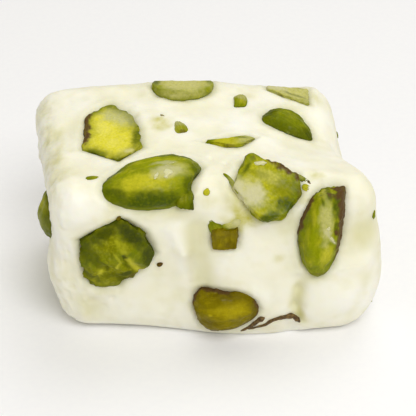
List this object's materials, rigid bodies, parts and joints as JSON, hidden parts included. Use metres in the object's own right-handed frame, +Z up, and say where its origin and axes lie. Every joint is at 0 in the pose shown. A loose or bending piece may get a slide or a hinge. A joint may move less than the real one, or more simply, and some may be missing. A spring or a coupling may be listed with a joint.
{
  "type": "nougat bar",
  "caption": "Short, thick bar of soft white nougat with rounded edges, studded with whole, sliced and broken pistachio kernels; a sweet eaten by hand.",
  "frame": {"origin": "middle of the bar's bounding box in plan, on the flat underside it rests on", "axes": "+X along the bar's length, +Y from its front face to its back face, +Z up"},
  "size_m": [0.0546, 0.0372, 0.0325],
  "materials": {
    "nougat": "soft satin, creamy white",
    "kernel_flesh": "matt, cut yellow-green flesh",
    "kernel_green": "satin, deep green",
    "kernel_olive": "satin, olive green with brown skin"
  },
  "bodies": {
    "root": {"nougat": "nougat", "pistachio_top_yellow": "kernel_flesh", "pistachio_top_back": "kernel_green", "pistachio_top_flake": "kernel_green", "pistachio_top_dark": "kernel_green", "pistachio_top_corner": "kernel_green", "pistachio_edge_large": "kernel_green", "pistachio_edge_veiled": "kernel_green", "pistachio_front_tall": "kernel_green", "pistachio_front_broken": "kernel_green", "pistachio_front_small": "kernel_olive", "pistachio_front_low": "kernel_olive", "pistachio_left_proud": "kernel_green", "pistachio_left_sliced": "kernel_flesh", "pistachio_left_low": "kernel_green", "pistachio_right_sliced": "kernel_flesh", "pistachio_right_round": "kernel_olive", "pistachio_right_low": "kernel_green", "pistachio_back_whole": "kernel_green", "pistachio_back_sliced": "kernel_flesh", "pistachio_back_tall": "kernel_olive", "pistachio_back_slim": "kernel_green", "pistachio_back_chip": "kernel_green", "pistachio_under_left": "kernel_flesh", "pistachio_under_middle": "kernel_green", "pistachio_under_right": "kernel_flesh"}
  },
  "joints": []
}
